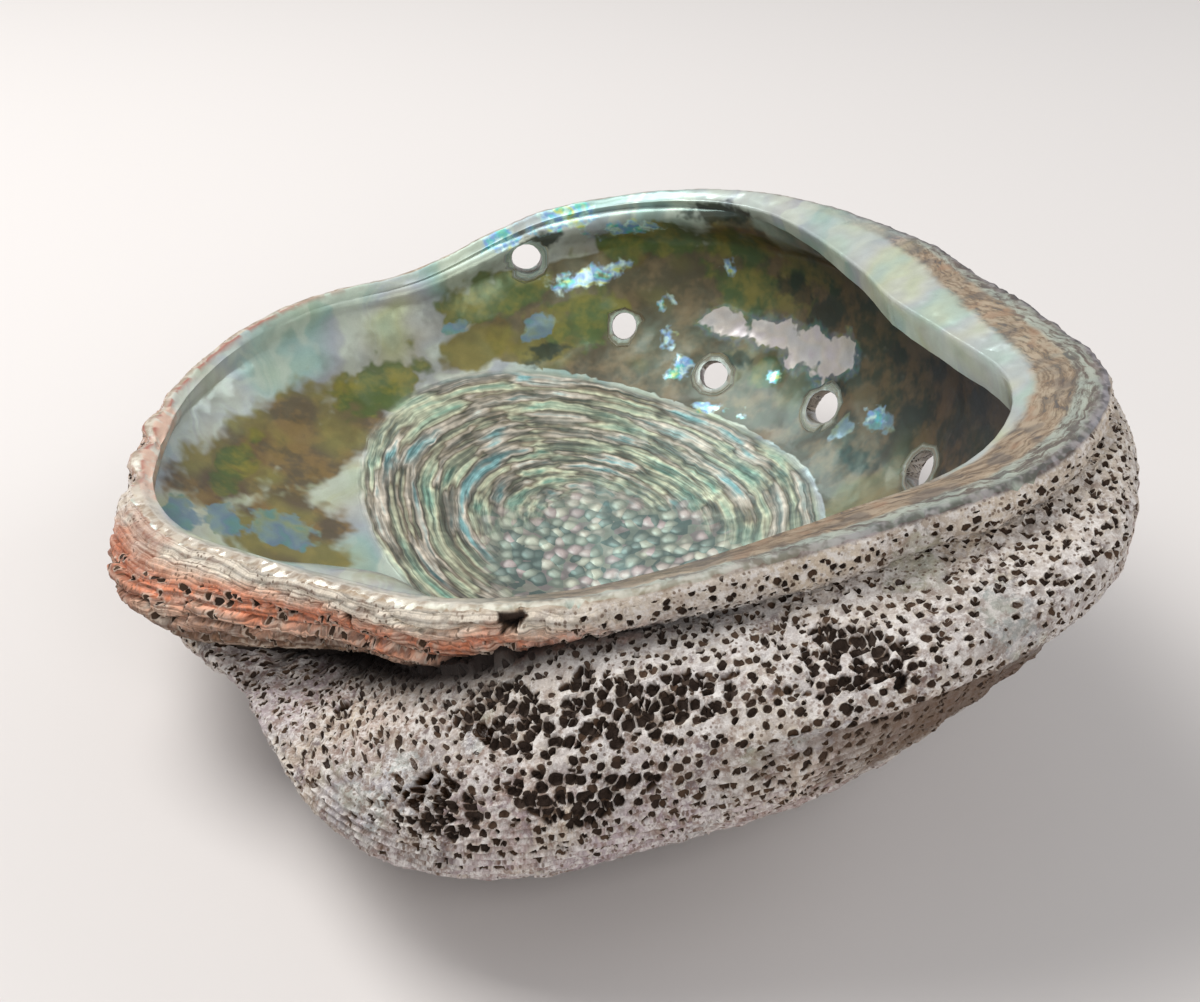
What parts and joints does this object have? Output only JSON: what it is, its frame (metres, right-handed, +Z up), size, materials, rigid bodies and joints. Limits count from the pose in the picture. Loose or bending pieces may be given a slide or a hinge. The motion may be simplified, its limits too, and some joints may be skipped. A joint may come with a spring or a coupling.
{
  "type": "abalone shell",
  "caption": "Thick ear-shaped sea shell lying on its crown, an open nacre bowl with a broad inner shelf, a row of breathing holes and a pitted chalky outside.",
  "frame": {"origin": "middle of the bounding box at the level of the worn flat on the crown, which the shell rests on", "axes": "+Z up, out of the opening; the spire and the broad outer wall face -Y; the thin growing lip is towards -X and the thick end of the shelf towards +X"},
  "size_m": [0.162, 0.1778, 0.0667],
  "materials": {
    "shell": "chalky pitted crust outside, polished iridescent nacre inside"
  },
  "bodies": {
    "root": {"shell": "shell"}
  },
  "joints": []
}
